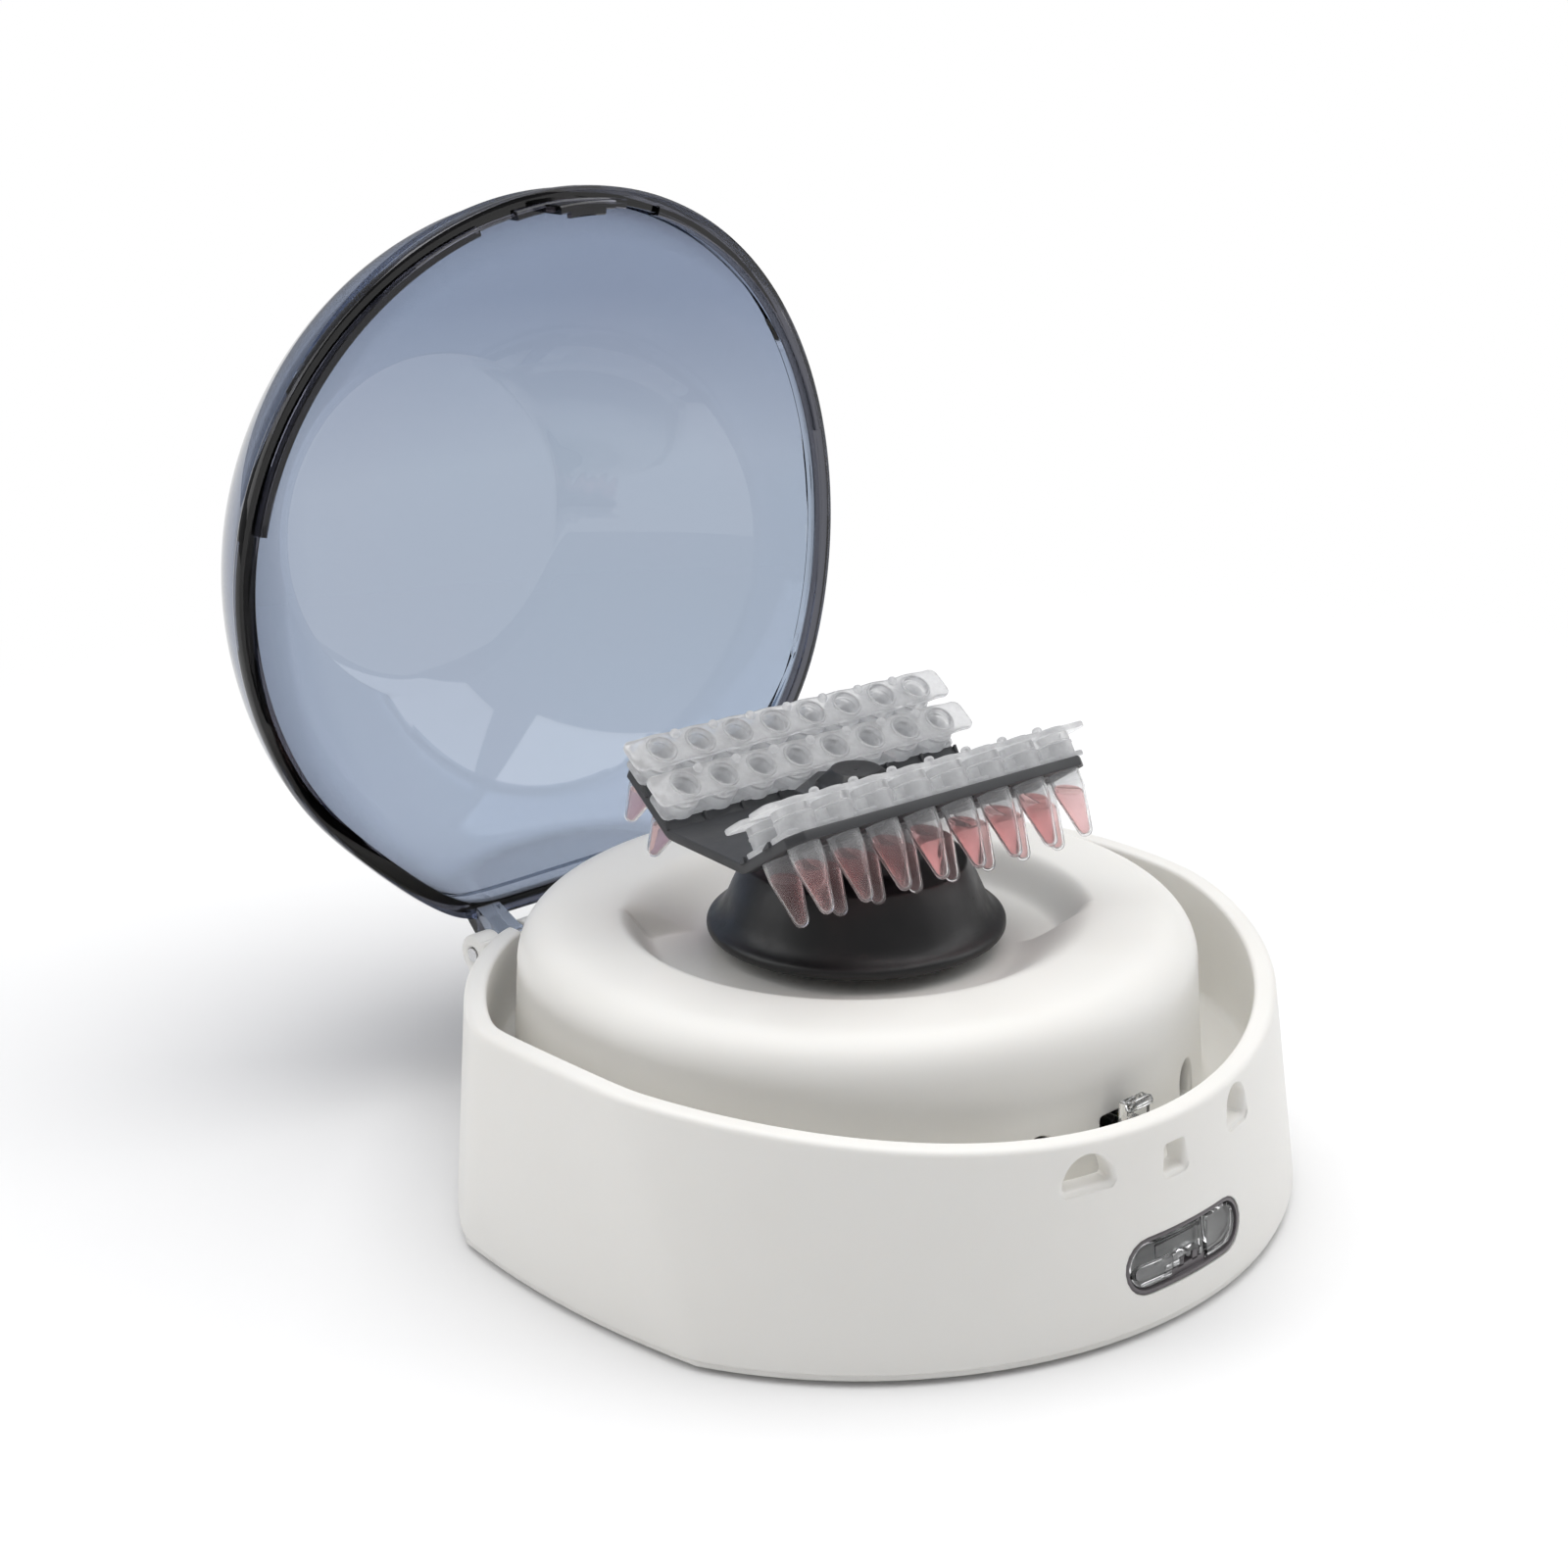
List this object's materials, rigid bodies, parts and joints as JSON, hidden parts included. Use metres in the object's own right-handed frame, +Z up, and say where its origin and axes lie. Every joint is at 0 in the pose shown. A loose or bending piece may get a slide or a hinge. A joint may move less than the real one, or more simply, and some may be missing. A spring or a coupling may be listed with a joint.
{
  "type": "laboratory centrifuge",
  "caption": "Small bench centrifuge with a round moulded base, a transparent domed lid that swings up at the back, and a folded rotor plate that carries tube strips.",
  "frame": {"origin": "on the rotor's axis, at the level of the bench under the rubber feet", "axes": "+Z up along the rotor's axis, -Y to the front where the lid release button is, +Y to the lid's hinge, +X to the right seen from the front"},
  "size_m": [0.1638, 0.2319, 0.1862],
  "materials": {
    "housing": "satin off-white moulded plastic",
    "rubber": "soft black rubber",
    "steel": "plated steel",
    "smoked": "smoked transparent plastic",
    "clear": "clear plastic",
    "bezel": "dark grey plastic",
    "black": "satin black plastic",
    "charcoal": "charcoal moulded plastic",
    "frosted": "frosted clear polypropylene",
    "sample": "pink liquid",
    "motor_steel": "zinc plated steel",
    "copper": "lacquered copper and laminations",
    "board": "green solder mask",
    "grey_plastic": "light grey plastic",
    "wire_red": "insulated wire",
    "wire_black": "insulated wire",
    "wire_blue": "insulated wire"
  },
  "bodies": {
    "base": {"housing": "housing", "base_plate": "housing", "rubber_feet": "rubber", "base_screws": "steel", "hinge_pins": "steel", "button_bezel": "bezel", "latch_springs": "steel", "latch_guide": "grey_plastic", "guide_screws": "steel", "interlock_switch": "black", "rocker_frame": "black", "power_jack": "black", "motor_can": "motor_steel", "motor_end_cap": "black", "motor_bearings": "steel", "motor_bracket": "motor_steel", "motor_screws": "steel", "mount_grommets": "rubber", "bracket_screws": "steel", "control_board": "board", "board_parts": "black", "board_screws": "steel", "motor_leads": "wire_red", "jack_leads": "wire_black", "switch_leads": "wire_black", "interlock_leads": "wire_blue"},
    "lid": {"lid": "smoked"},
    "rotor": {"rotor_hub": "black", "rotor_plate": "charcoal", "rotor_knob": "black", "motor_shaft": "steel", "motor_armature": "copper", "tube_strip_1": "frosted", "cap_strip_1": "frosted", "sample_1": "sample", "tube_strip_2": "frosted", "cap_strip_2": "frosted", "sample_2": "sample", "tube_strip_3": "frosted", "cap_strip_3": "frosted", "sample_3": "sample", "tube_strip_4": "frosted", "cap_strip_4": "frosted", "sample_4": "sample"},
    "latch": {"latch_button": "clear"},
    "interlock": {"interlock_lever": "steel"},
    "rocker": {"rocker": "black"}
  },
  "joints": [
    {"name": "lid_hinge", "type": "hinge", "parent": "base", "child": "lid", "pos_m": [0, 0.0748, 0.0325], "axis": [1, 0, 0], "range_deg": [0, 90]},
    {"name": "rotor_spin", "type": "hinge", "parent": "base", "child": "rotor", "pos_m": [0, 0, 0.06], "axis": [0, 0, 1], "continuous": true},
    {"name": "latch_press", "type": "slide", "parent": "base", "child": "latch", "axis": [0, 1, 0], "range_m": [0, 0.0026], "stiffness_N_per_m": 300, "deforming": ["latch_springs"]},
    {"name": "interlock_swing", "type": "hinge", "parent": "base", "child": "interlock", "pos_m": [-0.0063, -0.0533, 0.0345], "axis": [1, 0, 0], "range_deg": [0, 16]},
    {"name": "rocker_tip", "type": "hinge", "parent": "base", "child": "rocker", "pos_m": [0.008, 0.0712, 0.0106], "axis": [0, 0, 1], "range_deg": [-16, 0]}
  ],
  "couplings": [
    {"joint": "interlock_swing", "follows": "latch_press", "rad_per_m": 100}
  ]
}
